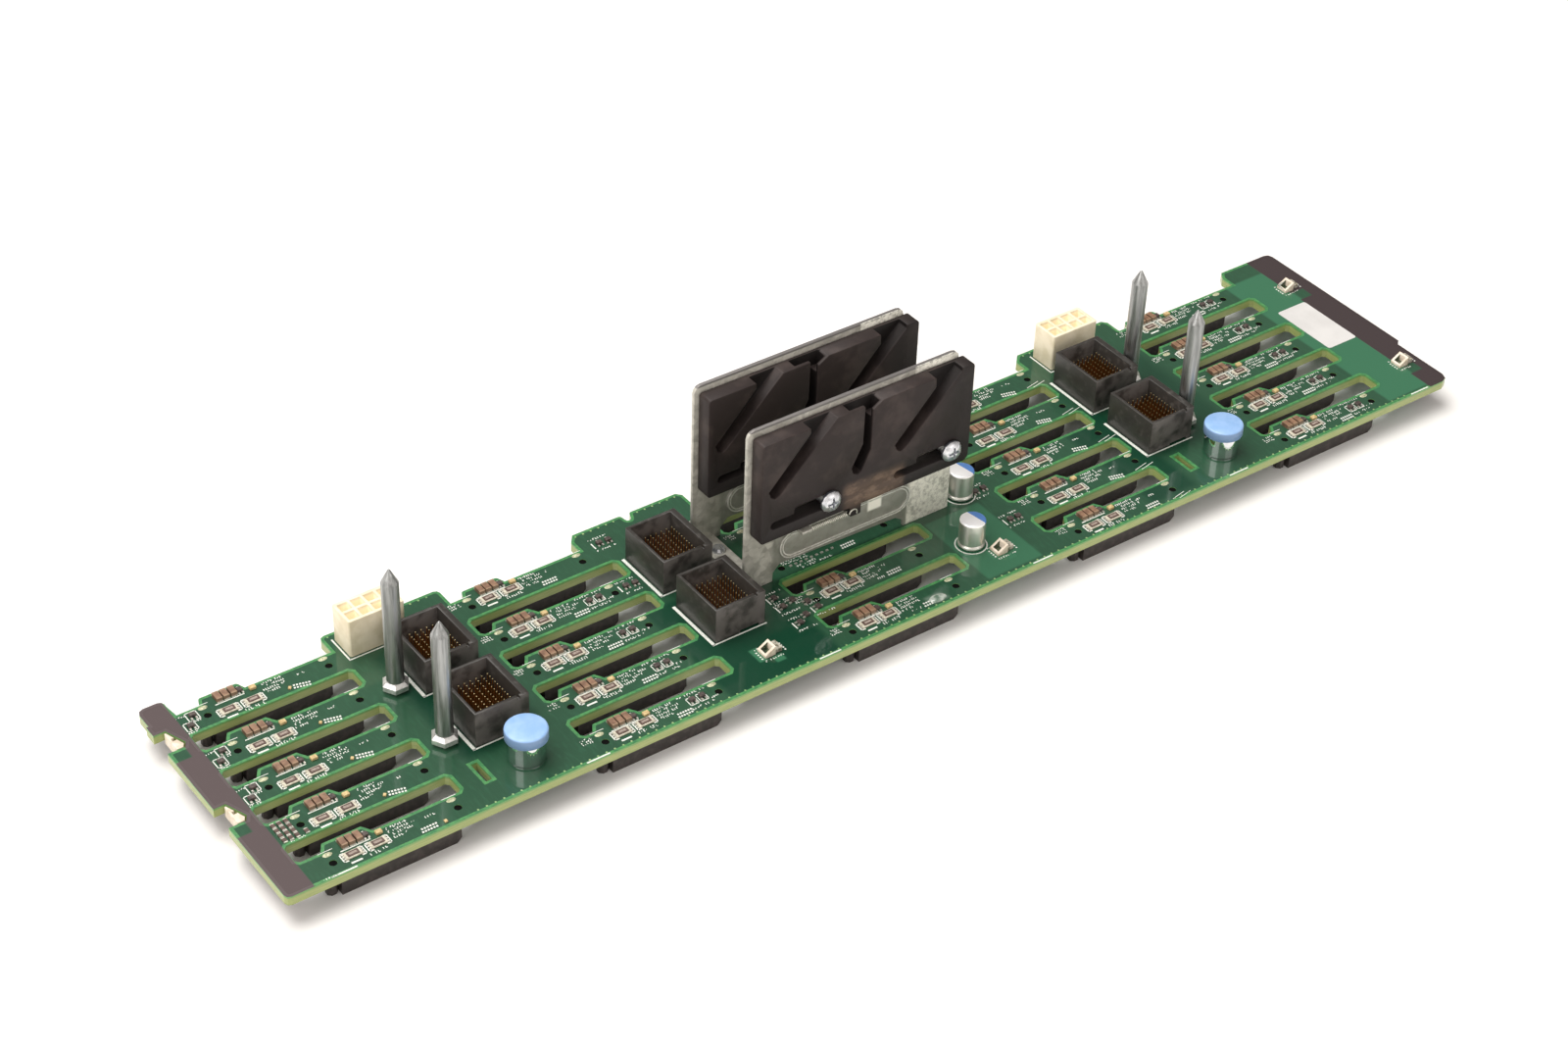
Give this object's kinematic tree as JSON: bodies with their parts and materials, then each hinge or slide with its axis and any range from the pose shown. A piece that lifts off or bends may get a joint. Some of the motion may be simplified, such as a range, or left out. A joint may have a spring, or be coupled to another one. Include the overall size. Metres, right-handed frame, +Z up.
{
  "type": "drive backplane board",
  "caption": "Long green circuit board with slotted strips, drive sockets underneath, plug shrouds, guide pins and an upright bracket with sprung slide plates.",
  "frame": {"origin": "on the plane the drive sockets rest on, under the middle of the board", "axes": "+X along the board to the end with the plain label, +Y to the edge with the tabs, +Z up out of the side with the plugs"},
  "size_m": [0.4244, 0.087, 0.0676],
  "materials": {
    "bright_chrome": "polished",
    "brown_ceramic": "sintered ceramic",
    "can_aluminium": "satin",
    "circuit_board": "green solder mask over glass laminate",
    "cream_plastic": "cream moulded",
    "galvanised_steel": "galvanised with spangle",
    "gold_contacts": "gold plated",
    "ivory_plastic": "ivory moulded",
    "label_paper": "plain white film",
    "pale_blue_plastic": "satin moulded",
    "pin_steel": "ground",
    "receptacle_plastic": "black moulded",
    "screw_steel": "zinc plated",
    "shroud_plastic": "black moulded",
    "slide_plastic": "black moulded with rub marks",
    "spring_steel": "drawn wire",
    "tinned_contacts": "plated"
  },
  "bodies": {
    "base": {"board": "circuit_board", "bracket": "galvanised_steel", "bracket_screws": "screw_steel", "can_capacitor_1": "can_aluminium", "can_capacitor_2": "can_aluminium", "guide_pins": "pin_steel", "knob_cap_1": "pale_blue_plastic", "knob_cap_2": "pale_blue_plastic", "knob_post_1": "bright_chrome", "knob_post_2": "bright_chrome", "label": "label_paper", "light_frames": "ivory_plastic", "power_header_1": "cream_plastic", "power_header_2": "cream_plastic", "power_pins": "tinned_contacts", "receptacle_c1_r1": "receptacle_plastic", "receptacle_c1_r2": "receptacle_plastic", "receptacle_c1_r3": "receptacle_plastic", "receptacle_c1_r4": "receptacle_plastic", "receptacle_c1_r5": "receptacle_plastic", "receptacle_c2_r1": "receptacle_plastic", "receptacle_c2_r2": "receptacle_plastic", "receptacle_c2_r3": "receptacle_plastic", "receptacle_c2_r4": "receptacle_plastic", "receptacle_c2_r5": "receptacle_plastic", "receptacle_c3_r1": "receptacle_plastic", "receptacle_c3_r2": "receptacle_plastic", "receptacle_c3_r3": "receptacle_plastic", "receptacle_c3_r4": "receptacle_plastic", "receptacle_c3_r5": "receptacle_plastic", "receptacle_c4_r1": "receptacle_plastic", "receptacle_c4_r2": "receptacle_plastic", "receptacle_c4_r3": "receptacle_plastic", "receptacle_c4_r4": "receptacle_plastic", "receptacle_c4_r5": "receptacle_plastic", "receptacle_c5_r1": "receptacle_plastic", "receptacle_c5_r2": "receptacle_plastic", "receptacle_c5_r3": "receptacle_plastic", "receptacle_c5_r4": "receptacle_plastic", "receptacle_c5_r5": "receptacle_plastic", "signal_pins_1": "gold_contacts", "signal_pins_2": "gold_contacts", "signal_pins_3": "gold_contacts", "signal_pins_4": "gold_contacts", "signal_pins_5": "gold_contacts", "signal_pins_6": "gold_contacts", "signal_shroud_1": "shroud_plastic", "signal_shroud_2": "shroud_plastic", "signal_shroud_3": "shroud_plastic", "signal_shroud_4": "shroud_plastic", "signal_shroud_5": "shroud_plastic", "signal_shroud_6": "shroud_plastic", "slide_screws": "screw_steel", "spring_1": "spring_steel", "spring_2": "spring_steel", "strip_capacitors": "brown_ceramic"},
    "front_slide": {"slide_plate_1": "slide_plastic"},
    "back_slide": {"slide_plate_2": "slide_plastic"}
  },
  "joints": [
    {"name": "front_slide_travel", "type": "slide", "parent": "base", "child": "front_slide", "axis": [1, 0, 0], "range_m": [0, 0.01], "stiffness_N_per_m": 150, "springref_m": -0.006, "deforming": ["spring_1"]},
    {"name": "back_slide_travel", "type": "slide", "parent": "base", "child": "back_slide", "axis": [1, 0, 0], "range_m": [0, 0.01], "stiffness_N_per_m": 150, "springref_m": -0.006, "deforming": ["spring_2"]}
  ]
}
